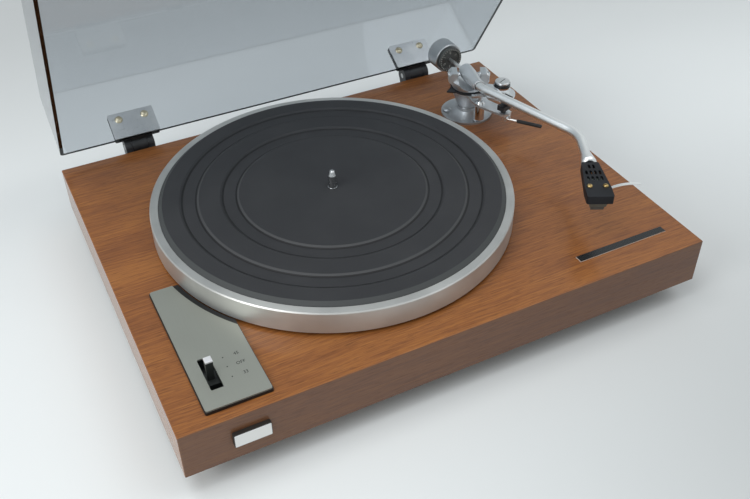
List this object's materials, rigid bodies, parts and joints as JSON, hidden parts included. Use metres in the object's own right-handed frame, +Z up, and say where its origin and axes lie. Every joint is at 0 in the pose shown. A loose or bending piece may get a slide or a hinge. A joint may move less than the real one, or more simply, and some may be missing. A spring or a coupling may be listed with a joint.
{
  "type": "turntable record player",
  "caption": "Belt-drive record player: wood plinth, aluminium platter with rubber mat, S-shaped tonearm with counterweight, and a smoked dust cover held open on hinges.",
  "frame": {"origin": "on the spindle's axis, at the mat's top surface where the record lies", "axes": "+X right along the front, +Y to the back where the hinges are, +Z up along the spindle"},
  "size_m": [0.44, 0.4051, 0.3962],
  "materials": {
    "teak_veneer": "satin",
    "hardboard": "matte",
    "zinc_screw": "satin",
    "black_rubber": "matte",
    "cast_alloy": "cast",
    "motor_can": "painted",
    "zinc_plate": "zinc",
    "black_plastic": "matte",
    "panel_aluminium": "satin",
    "label_plate": "satin",
    "badge_metal": "satin",
    "arm_metal": "satin",
    "chrome_metal": "polished",
    "turned_aluminium": "satin turned",
    "mat_rubber": "matte",
    "polished_steel": "polished",
    "turned_brass": "turned",
    "satin_metal": "satin",
    "smoked_acrylic": "clear smoked",
    "brass_screw": "satin",
    "tube_metal": "polished",
    "cartridge_plastic": "matte",
    "stylus_plastic": "matte",
    "weight_metal": "satin"
  },
  "bodies": {
    "plinth": {"plinth": "teak_veneer", "bottom_cover": "hardboard", "bottom_screws": "zinc_screw", "lead_glands": "black_rubber", "bearing_housing": "cast_alloy", "motor": "motor_can", "motor_plate": "zinc_plate", "motor_grommets": "black_rubber", "deck_screws": "zinc_screw", "drive_belt": "black_rubber", "panel_base": "black_plastic", "panel_plate": "panel_aluminium", "switch_frame": "black_plastic", "label_strip": "label_plate", "front_badge": "badge_metal", "hinge_pins": "zinc_screw", "hinge_screws": "zinc_screw", "hinge_socket_left": "black_plastic", "hinge_socket_right": "black_plastic", "arm_base": "arm_metal", "arm_pillar": "arm_metal", "arm_bracket": "arm_metal", "pivot_disc": "black_plastic", "arm_rest": "black_plastic", "skate_base": "chrome_metal", "lift_sleeve": "chrome_metal", "foot_front_left": "black_rubber", "foot_front_right": "black_rubber", "foot_rear_left": "black_rubber", "foot_rear_right": "black_rubber"},
    "platter": {"platter": "turned_aluminium", "platter_mat": "mat_rubber", "spindle": "polished_steel"},
    "pulley": {"motor_pulley": "turned_brass"},
    "belt shifter": {"belt_shifter": "zinc_plate"},
    "speed lever": {"speed_lever": "satin_metal"},
    "lid": {"lid": "smoked_acrylic", "lid_clamps": "satin_metal", "lid_screws": "brass_screw", "hinge_arm_left": "black_plastic", "hinge_arm_right": "black_plastic"},
    "yoke": {"arm_yoke": "arm_metal", "pivot_screws": "chrome_metal"},
    "tonearm": {"arm_collar": "arm_metal", "arm_tube": "tube_metal", "rear_shaft": "tube_metal", "headshell": "black_plastic", "shell_screws": "brass_screw", "cartridge": "cartridge_plastic", "stylus": "stylus_plastic", "finger_lift": "satin_metal"},
    "locknut": {"locknut": "arm_metal"},
    "weight bush": {"weight_bush": "black_rubber"},
    "counterweight": {"counterweight": "weight_metal"},
    "tracking dial": {"tracking_dial": "black_plastic"},
    "lift bar": {"lift_bar": "zinc_plate"},
    "cue lever": {"cue_lever": "tube_metal", "cue_grip": "black_rubber"},
    "anti-skate knob": {"skate_ring": "black_plastic", "skate_knob": "satin_metal"}
  },
  "joints": [
    {"name": "platter_spin", "type": "hinge", "parent": "plinth", "child": "platter", "pos_m": [0, 0, 0], "axis": [0, 0, -1], "continuous": true},
    {"name": "pulley_spin", "type": "hinge", "parent": "plinth", "child": "pulley", "pos_m": [-0.10525, -0.03831, -0.0247], "axis": [0, 0, -1], "continuous": true},
    {"name": "lid_hinge", "type": "hinge", "parent": "plinth", "child": "lid", "pos_m": [0.0276, 0.1769, -0.0247], "axis": [-1, 0, 0], "range_deg": [-59, 10]},
    {"name": "speed_lever_slide", "type": "slide", "parent": "plinth", "child": "speed lever", "axis": [0, 1, 0], "range_m": [-0.01, 0.01]},
    {"name": "belt_shift", "type": "slide", "parent": "plinth", "child": "belt shifter", "axis": [0, 0, 1], "range_m": [-0.001, 0.001]},
    {"name": "arm_swing", "type": "hinge", "parent": "plinth", "child": "yoke", "pos_m": [0.1819, 0.0845, 0.0165], "axis": [0, 0, -1], "range_deg": [0, 46]},
    {"name": "arm_lift", "type": "hinge", "parent": "yoke", "child": "tonearm", "pos_m": [0.1819, 0.0845, 0.0165], "axis": [-0.891, 0.454, 0], "range_deg": [0, 12]},
    {"name": "locknut_turn", "type": "hinge", "parent": "tonearm", "child": "locknut", "pos_m": [0.19659, -0.07826, 0.0165], "axis": [-0.4431, -0.8965, 0], "range_deg": [0, 120]},
    {"name": "weight_travel", "type": "slide", "parent": "tonearm", "child": "weight bush", "axis": [-0.0262, 0.9997, 0], "range_m": [-0.003, 0.003]},
    {"name": "weight_turn", "type": "hinge", "parent": "weight bush", "child": "counterweight", "pos_m": [0.18096, 0.12029, 0.0165], "axis": [-0.0262, 0.9997, 0], "range_deg": [-432, 432]},
    {"name": "dial_turn", "type": "hinge", "parent": "counterweight", "child": "tracking dial", "pos_m": [0.18096, 0.12029, 0.0165], "axis": [-0.0262, 0.9997, 0], "continuous": true},
    {"name": "cue_lever_turn", "type": "hinge", "parent": "plinth", "child": "cue lever", "pos_m": [0.1902, 0.0302, -0.0051], "axis": [-0.8271, -0.5621, 0], "range_deg": [-30, 0]},
    {"name": "lift_bar_slide", "type": "slide", "parent": "plinth", "child": "lift bar", "axis": [0, 0, 1], "range_m": [-0.004, 0]},
    {"name": "anti_skate_turn", "type": "hinge", "parent": "plinth", "child": "anti-skate knob", "pos_m": [0.2042, 0.0603, 0.0029], "axis": [0, 0, -1], "range_deg": [0, 300]}
  ],
  "couplings": [
    {"joint": "pulley_spin", "follows": "platter_spin", "ratio": 14.125},
    {"joint": "belt_shift", "follows": "speed_lever_slide", "ratio": 0.1},
    {"joint": "weight_turn", "follows": "weight_travel", "rad_per_m": 2513.3},
    {"joint": "lift_bar_slide", "follows": "cue_lever_turn", "m_per_rad": 0.0076394}
  ]
}
